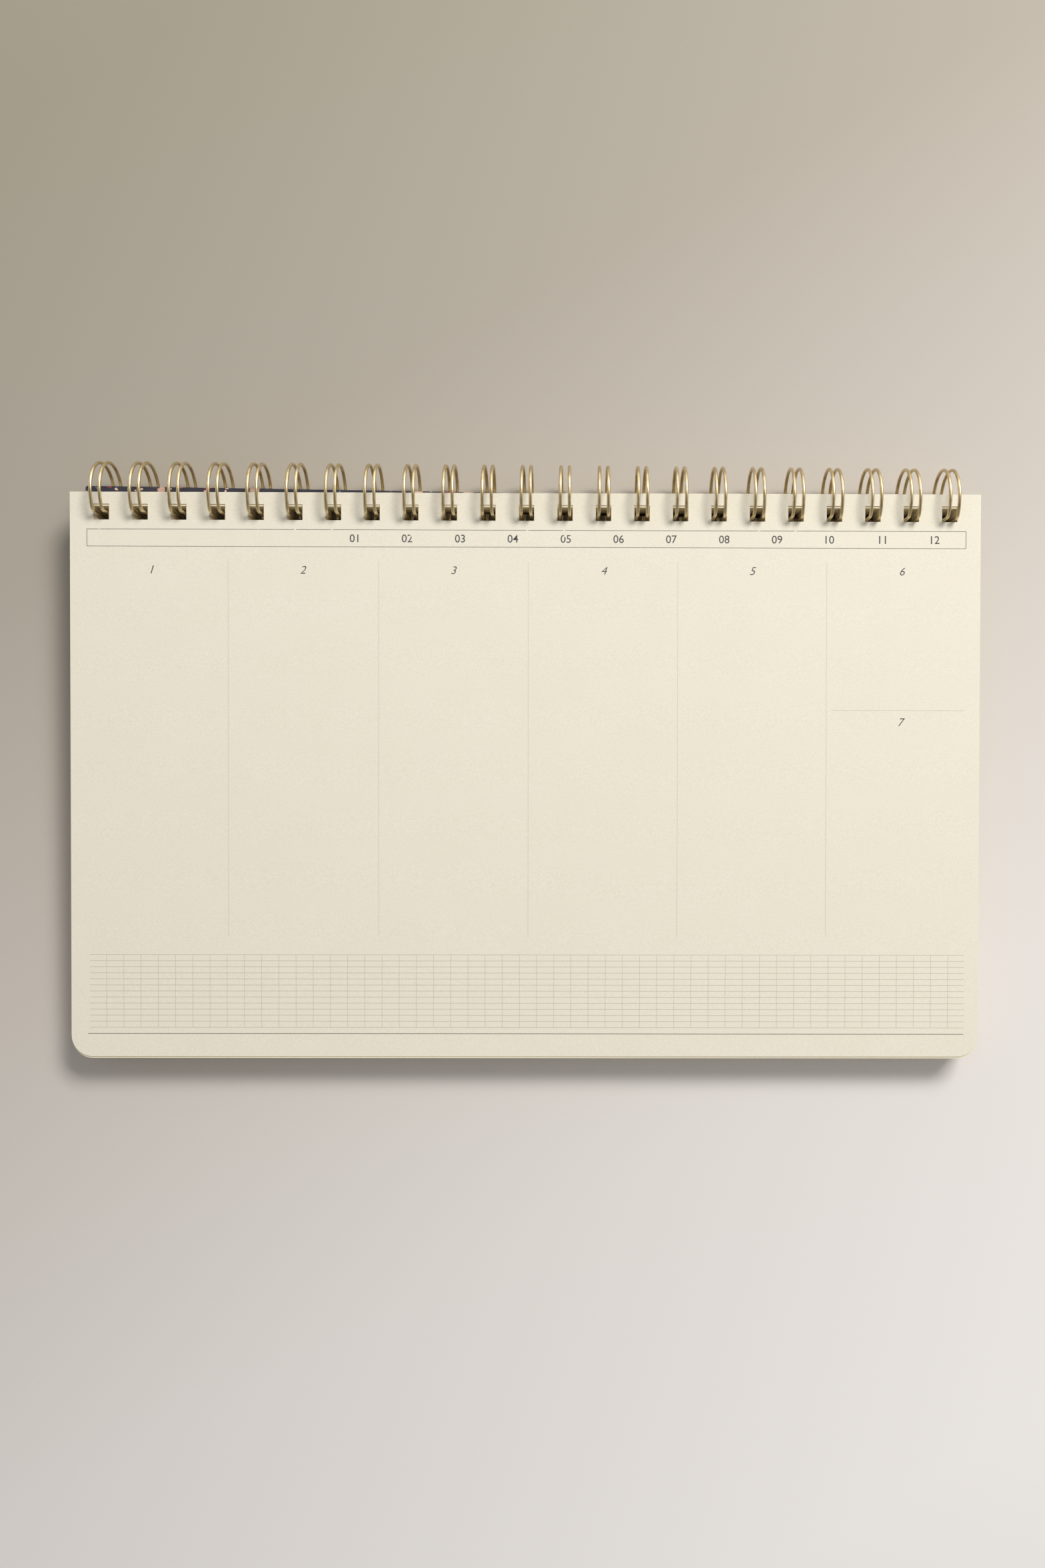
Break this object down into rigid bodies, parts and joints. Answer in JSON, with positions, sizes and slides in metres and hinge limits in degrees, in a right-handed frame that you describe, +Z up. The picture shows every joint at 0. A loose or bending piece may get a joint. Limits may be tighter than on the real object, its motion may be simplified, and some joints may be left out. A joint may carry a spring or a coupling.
{
  "type": "desk planner pad",
  "caption": "Landscape weekly planner pad, wire bound along its top edge, with a printed card cover that folds round the loops to the back.",
  "frame": {"origin": "on the desk, under the centre of the pad's outline", "axes": "+X along the bound edge, +Y from the front edge towards the wire, +Z up"},
  "size_m": [0.3022, 0.1978, 0.0216],
  "materials": {
    "paper": "uncoated cream writing paper with fine grey ruling",
    "grey_board": "plain solid greyboard backing",
    "printed_card": "card printed dark blue-grey with a small scattered motif in peach and crimson, satin",
    "gold_wire": "smooth gold-coloured twin-loop wire, bright highlights"
  },
  "bodies": {
    "pad": {"page_block": "paper", "back_board": "grey_board", "wire_binding": "gold_wire"},
    "cover": {"front_cover": "printed_card"}
  },
  "joints": [
    {"name": "front_cover_turn", "type": "hinge", "parent": "pad", "child": "cover", "pos_m": [0.00015, 0.0882, 0.01086], "axis": [1, 0, 0], "range_deg": [0, 180]}
  ]
}
